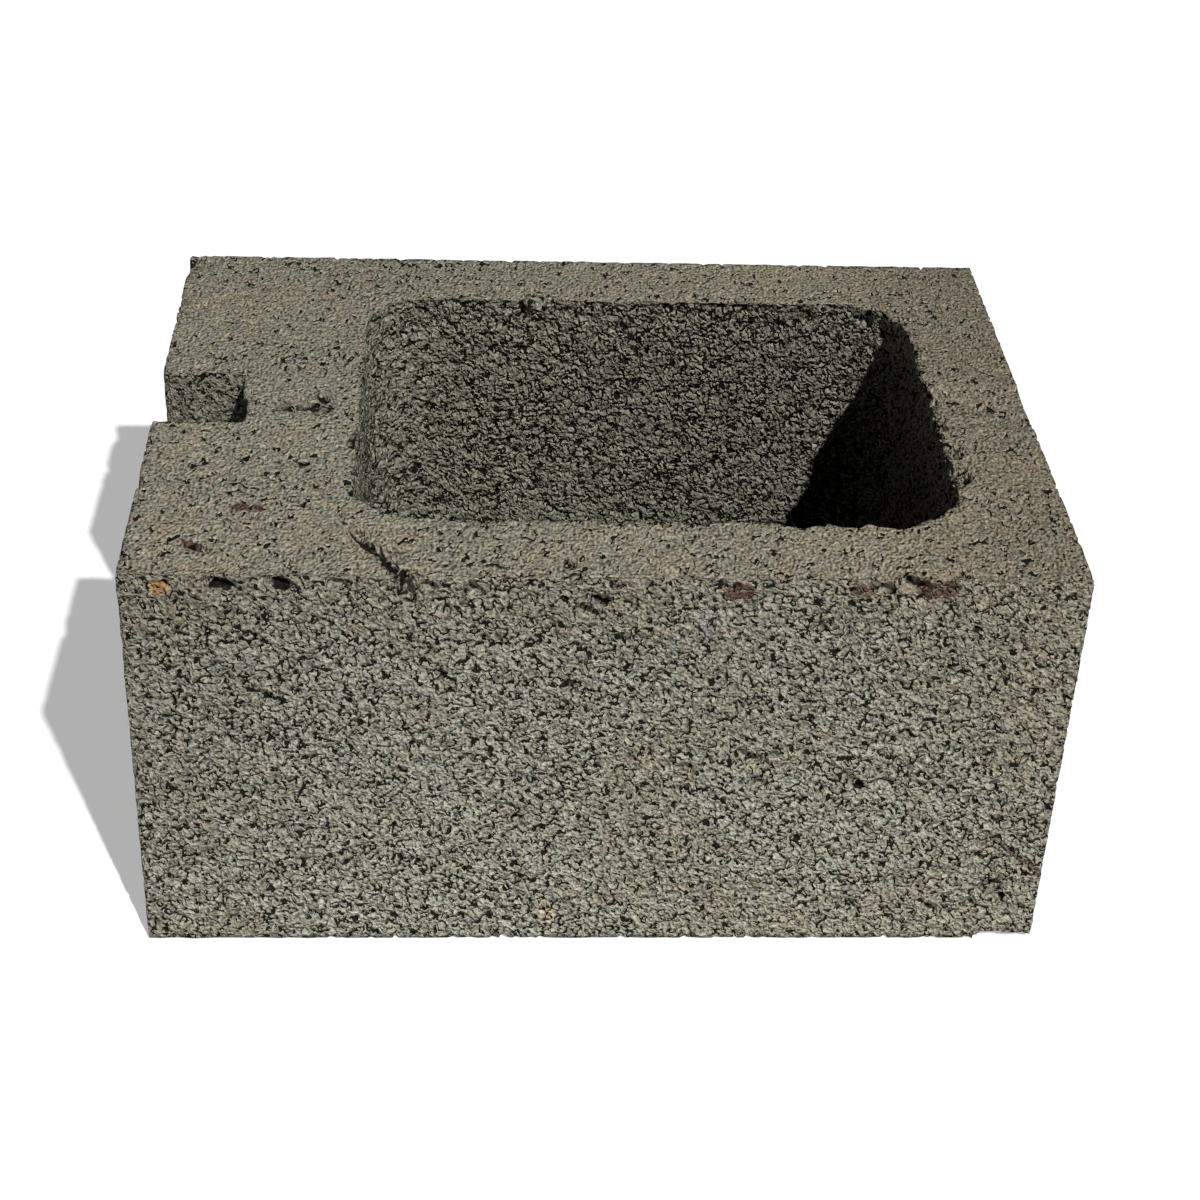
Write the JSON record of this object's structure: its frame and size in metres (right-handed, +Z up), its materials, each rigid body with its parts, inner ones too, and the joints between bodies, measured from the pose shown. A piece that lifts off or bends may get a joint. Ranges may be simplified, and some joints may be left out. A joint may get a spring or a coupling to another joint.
{
  "type": "concrete block",
  "caption": "Hollow concrete masonry block with a single tapered core, solid face shells and a joint groove down one end.",
  "frame": {"origin": "centre of the bottom bed face, on the level that the block rests on", "axes": "+X along the block from the grooved end to the plain end, +Y across the wall thickness, +Z up out of the top bed face"},
  "size_m": [0.397, 0.295, 0.194],
  "materials": {
    "concrete": "open-textured cast concrete, grey-green with tan patches"
  },
  "bodies": {
    "root": {"concrete_block": "concrete"}
  },
  "joints": []
}
